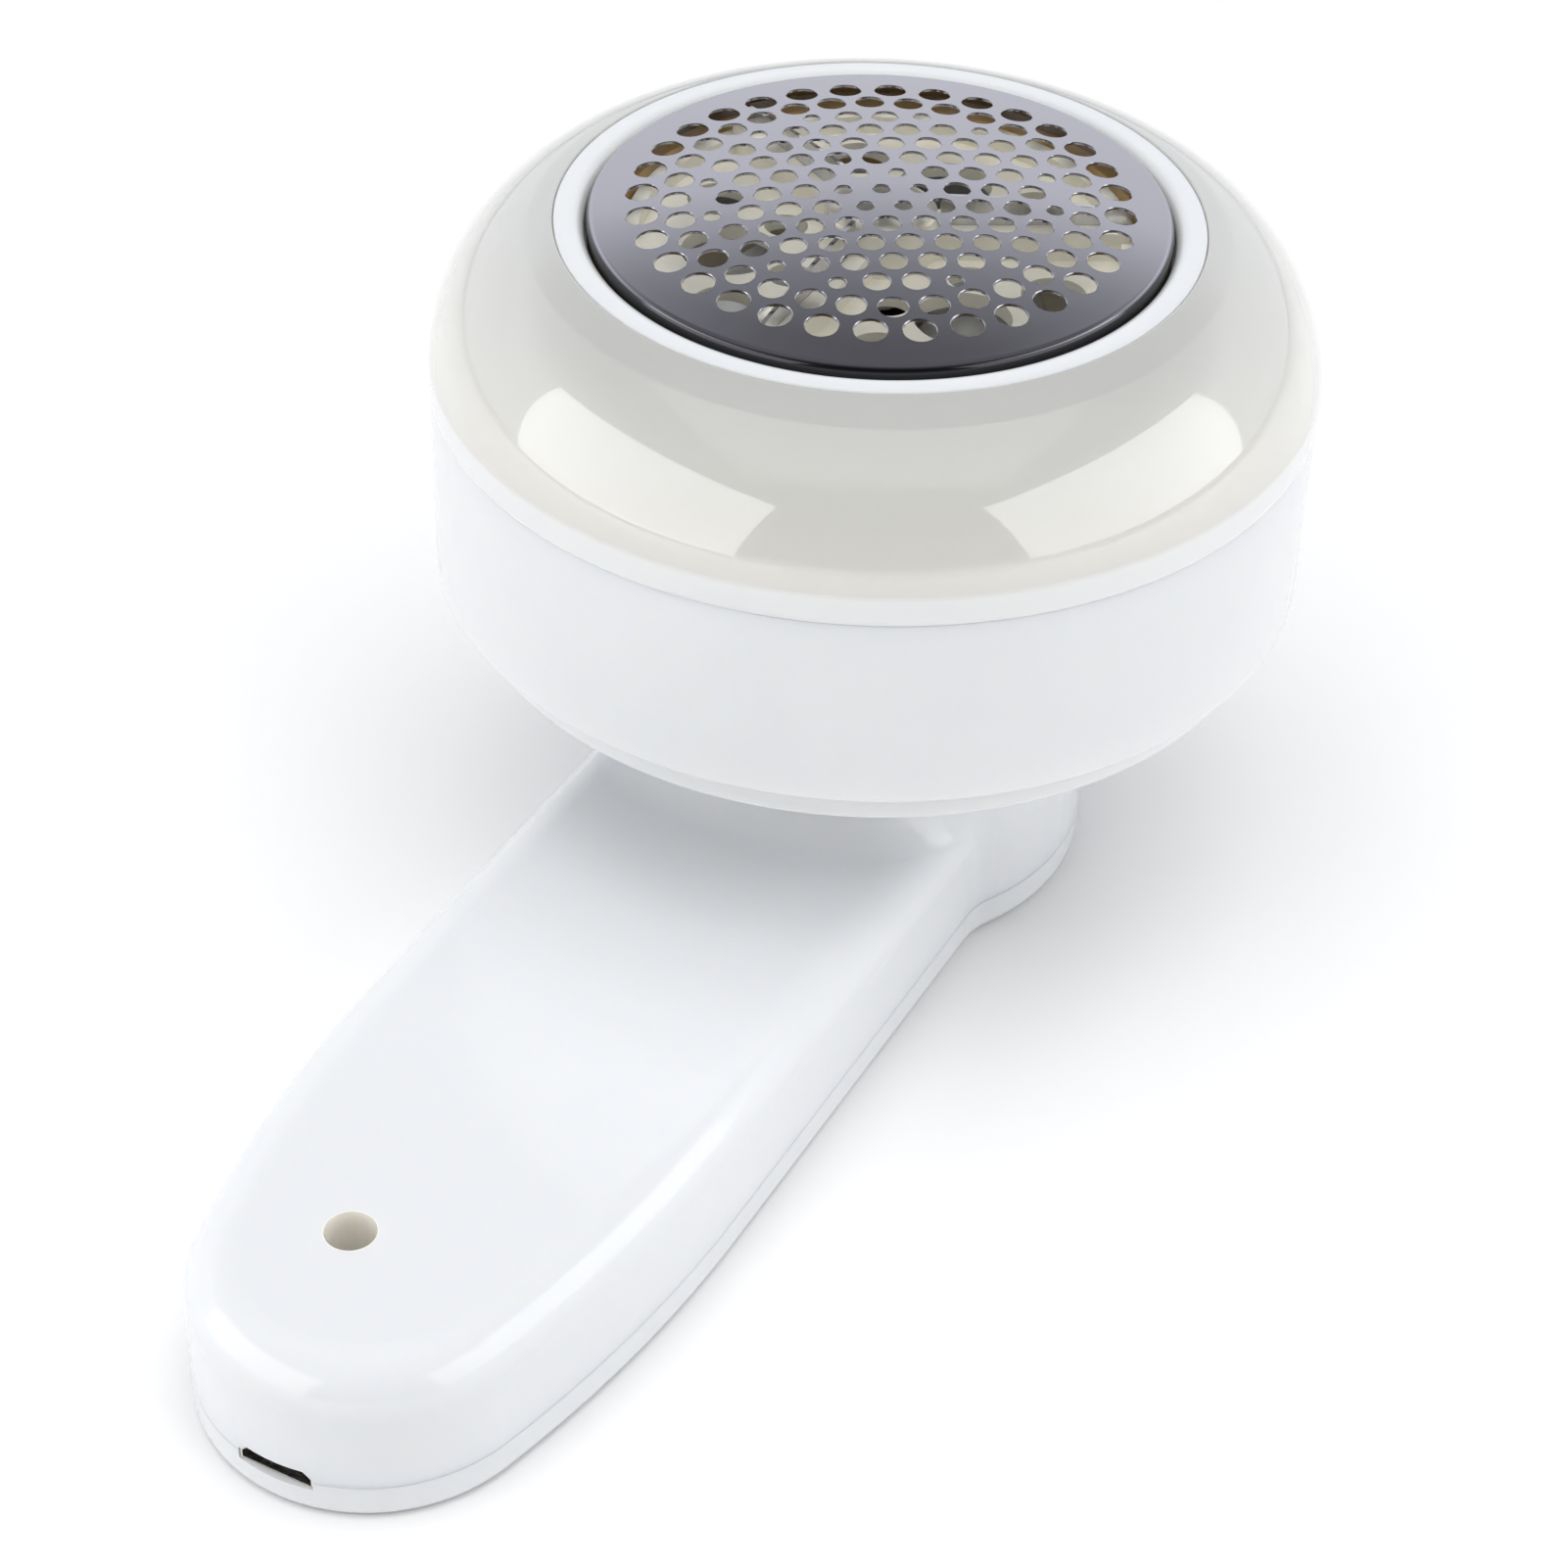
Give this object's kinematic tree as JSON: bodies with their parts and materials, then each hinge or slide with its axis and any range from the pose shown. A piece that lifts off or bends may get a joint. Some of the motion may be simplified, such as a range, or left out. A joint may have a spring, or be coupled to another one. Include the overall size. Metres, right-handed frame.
{
  "type": "fabric shaver",
  "caption": "Cordless fabric shaver: round head with a pierced steel foil over spinning blades, a translucent lint dome and a slim straight handle.",
  "frame": {"origin": "on the flat back that the shaver rests on, where the axis of the round head meets it", "axes": "+Z along the head's axis, out through the foil; the handle reaches along -Y; X is to the sides"},
  "size_m": [0.09, 0.1583, 0.0775],
  "materials": {
    "white_plastic": "glossy moulded ABS",
    "dome_plastic": "milky translucent moulded plastic",
    "foil_steel": "polished perforated steel",
    "blade_steel": "ground steel",
    "cream_plastic": "satin moulded plastic",
    "amber_plastic": "amber moulded plastic",
    "black_plastic": "black moulded plastic",
    "button_plastic": "pale grey moulded plastic",
    "screw_steel": "zinc plated",
    "motor_steel": "drawn steel can",
    "spring_steel": "spring wire",
    "bronze": "sintered bronze",
    "copper": "wound copper and steel stack",
    "nickel": "nickel strip",
    "ferrite": "ferrite",
    "cell_wrap": "shrink sleeve",
    "board_green": "solder mask",
    "rubber_seal": "soft rubber",
    "felt": "felt washer",
    "lead_cover": "insulated wire",
    "window_clear": "clear light window",
    "lamp": "lamp body"
  },
  "bodies": {
    "handle_body": {"main_housing": "white_plastic", "back_cover": "white_plastic", "base_plate": "white_plastic", "head_bowl": "white_plastic", "motor_can": "motor_steel", "motor_end_cap": "black_plastic", "motor_bushes": "bronze", "motor_magnets": "ferrite", "motor_terminals": "nickel", "motor_damper": "rubber_seal", "shaft_seal": "felt", "motor_retainer": "black_plastic", "head_screws": "screw_steel", "battery_cell": "cell_wrap", "battery_tabs": "nickel", "battery_leads": "lead_cover", "motor_leads": "lead_cover", "charge_leads": "lead_cover", "switch_board": "board_green", "tact_switch": "black_plastic", "charge_board": "board_green", "charge_chip": "black_plastic", "charge_led": "lamp", "led_window": "window_clear", "usb_socket": "nickel", "usb_tongue": "black_plastic", "tail_screw": "screw_steel", "cover_screws": "screw_steel", "board_screws": "screw_steel"},
    "dome": {"lint_dome": "dome_plastic", "dome_seal": "rubber_seal"},
    "foil_ring": {"foil_ring": "white_plastic", "foil": "foil_steel", "foil_seat": "amber_plastic"},
    "drive": {"motor_shaft": "screw_steel", "motor_armature": "copper", "drive_coupler": "black_plastic", "cutter_spring": "spring_steel"},
    "blade_head": {"blade_carrier": "cream_plastic", "blade_1": "blade_steel", "blade_2": "blade_steel", "blade_3": "blade_steel", "blade_cap": "cream_plastic"},
    "button": {"power_button": "button_plastic"}
  },
  "joints": [
    {"name": "drive_spin", "type": "hinge", "parent": "handle_body", "child": "drive", "pos_m": [0, 0, 0.065], "axis": [0, 0, 1], "continuous": true},
    {"name": "cutter_float", "type": "slide", "parent": "drive", "child": "blade_head", "axis": [0, 0, 1], "range_m": [-0.0008, 0], "stiffness_N_per_m": 600, "springref_m": 0.002, "deforming": ["cutter_spring"]},
    {"name": "dome_lift", "type": "slide", "parent": "handle_body", "child": "dome", "axis": [0, 0, 1], "range_m": [0, 0.045]},
    {"name": "ring_twist", "type": "hinge", "parent": "dome", "child": "foil_ring", "pos_m": [0, 0, 0.067], "axis": [0, 0, 1], "range_deg": [0, 30]},
    {"name": "button_press", "type": "slide", "parent": "handle_body", "child": "button", "axis": [0, 0, 1], "range_m": [0, 0.0005], "stiffness_N_per_m": 600, "springref_m": -0.0005}
  ]
}
